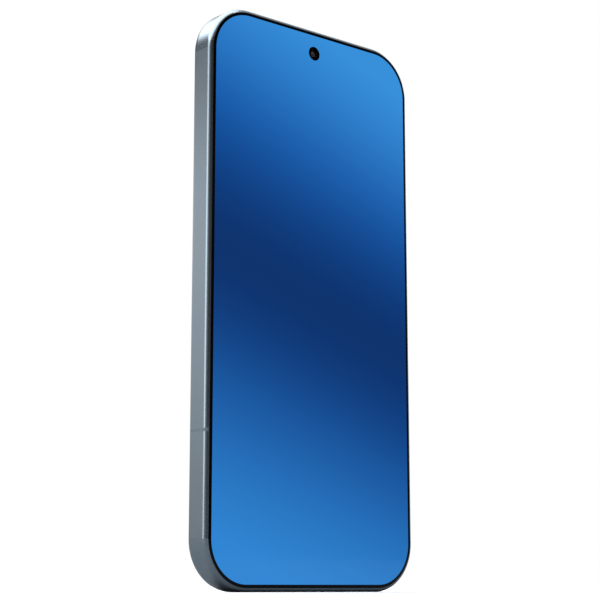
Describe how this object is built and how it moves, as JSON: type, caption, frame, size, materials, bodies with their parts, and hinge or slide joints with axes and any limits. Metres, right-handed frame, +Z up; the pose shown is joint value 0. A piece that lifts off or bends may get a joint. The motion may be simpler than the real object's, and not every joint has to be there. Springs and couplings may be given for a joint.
{
  "type": "smartphone",
  "caption": "Slim touch-screen phone with flat metal frame, punch-hole screen, side keys, card tray, charging socket and raised rear camera island.",
  "frame": {"origin": "under the middle of the whole phone's box, on the face it stands on", "axes": "+Z up the phone's height, screen faces -Y, +X to the right seen from the front"},
  "size_m": [0.0714, 0.011, 0.1524],
  "materials": {
    "frame_metal": "satin anodised",
    "band_plastic": "matte",
    "cover_glass": "polished",
    "mesh": "woven mesh",
    "black_adhesive": "matte",
    "display": "lit screen",
    "foam": "matte",
    "copper": "bright copper",
    "back_glass": "frosted glass",
    "island_metal": "satin anodised",
    "ring_metal": "polished",
    "window_glass": "coated",
    "circuit_board": "solder mask",
    "sheet_steel": "stamped",
    "diffuser": "ribbed",
    "led": "phosphor",
    "camera_black": "matte",
    "flex_film": "polyimide film",
    "black_plastic": "matte",
    "seal_rubber": "moulded",
    "battery_wrap": "wrapped pouch",
    "chip_epoxy": "matte",
    "tungsten": "sintered"
  },
  "bodies": {
    "phone": {"frame": "frame_metal", "antenna_bands": "band_plastic", "cover_glass": "cover_glass", "earpiece_mesh": "mesh", "display_adhesive": "black_adhesive", "display_panel": "display", "display_cushion": "foam", "vapor_chamber": "copper", "back_cover": "back_glass", "camera_island": "island_metal", "lens_rings": "ring_metal", "camera_windows": "window_glass", "camera_sensors": "circuit_board", "camera_bracket": "sheet_steel", "flash_window": "diffuser", "flash_led": "led", "front_camera": "camera_black", "front_camera_lens": "window_glass", "side_key_flex": "flex_film", "side_key_bracket": "sheet_steel", "usb_sleeve": "sheet_steel", "usb_tongue": "black_plastic", "usb_seal": "seal_rubber", "speaker_mesh": "mesh", "speaker": "black_plastic", "microphones": "sheet_steel", "sim_cage": "sheet_steel", "battery": "battery_wrap", "battery_adhesive": "black_adhesive", "battery_flex": "flex_film", "main_board": "circuit_board", "board_chips": "chip_epoxy", "shield_cans": "sheet_steel", "board_cover": "sheet_steel", "sub_board": "circuit_board", "lower_cover": "sheet_steel", "display_flex": "flex_film", "main_flex": "flex_film", "vibration_motor": "sheet_steel", "earpiece": "black_plastic", "charging_shield": "foam", "charging_coil": "copper", "screws": "sheet_steel", "ultrawide_camera": "camera_black", "main_camera": "camera_black", "telephoto_camera": "camera_black"},
    "power_key": {"power_button": "frame_metal"},
    "volume_down_key": {"volume_down_button": "frame_metal"},
    "volume_up_key": {"volume_up_button": "frame_metal"},
    "card_tray": {"sim_tray": "frame_metal", "sim_tray_seal": "seal_rubber"},
    "tray_rod": {"eject_rod": "sheet_steel"},
    "tray_lever": {"eject_lever": "sheet_steel"},
    "haptic_mass": {"vibration_mass": "tungsten"},
    "ultrawide_lens": {"ultrawide_lens_barrel": "camera_black"},
    "main_lens": {"main_lens_barrel": "camera_black"},
    "telephoto_lens": {"telephoto_lens_barrel": "camera_black"}
  },
  "joints": [
    {"name": "power_press", "type": "slide", "parent": "phone", "child": "power_key", "axis": [-1, 0, 0], "range_m": [0, 0.00025], "stiffness_N_per_m": 1500},
    {"name": "volume_down_press", "type": "slide", "parent": "phone", "child": "volume_down_key", "axis": [-1, 0, 0], "range_m": [0, 0.00025], "stiffness_N_per_m": 1500},
    {"name": "volume_up_press", "type": "slide", "parent": "phone", "child": "volume_up_key", "axis": [-1, 0, 0], "range_m": [0, 0.00025], "stiffness_N_per_m": 1500},
    {"name": "tray_slide", "type": "slide", "parent": "phone", "child": "card_tray", "axis": [0, 0, -1], "range_m": [0, 0.016]},
    {"name": "rod_push", "type": "slide", "parent": "phone", "child": "tray_rod", "axis": [0, 0, 1], "range_m": [0, 0.0012]},
    {"name": "lever_turn", "type": "hinge", "parent": "phone", "child": "tray_lever", "pos_m": [-0.0148, -0.0017, 0.019], "axis": [0, 1, 0], "range_deg": [0, 12]},
    {"name": "haptic_shake", "type": "slide", "parent": "phone", "child": "haptic_mass", "axis": [1, 0, 0], "range_m": [-0.0006, 0.0006], "stiffness_N_per_m": 2000},
    {"name": "ultrawide_focus", "type": "slide", "parent": "phone", "child": "ultrawide_lens", "axis": [0, 1, 0], "range_m": [0, 0.0003], "stiffness_N_per_m": 300},
    {"name": "main_focus", "type": "slide", "parent": "phone", "child": "main_lens", "axis": [0, 1, 0], "range_m": [0, 0.0003], "stiffness_N_per_m": 300},
    {"name": "telephoto_focus", "type": "slide", "parent": "phone", "child": "telephoto_lens", "axis": [0, 1, 0], "range_m": [0, 0.0003], "stiffness_N_per_m": 300}
  ],
  "couplings": [
    {"joint": "lever_turn", "follows": "rod_push", "rad_per_m": 172.41}
  ]
}
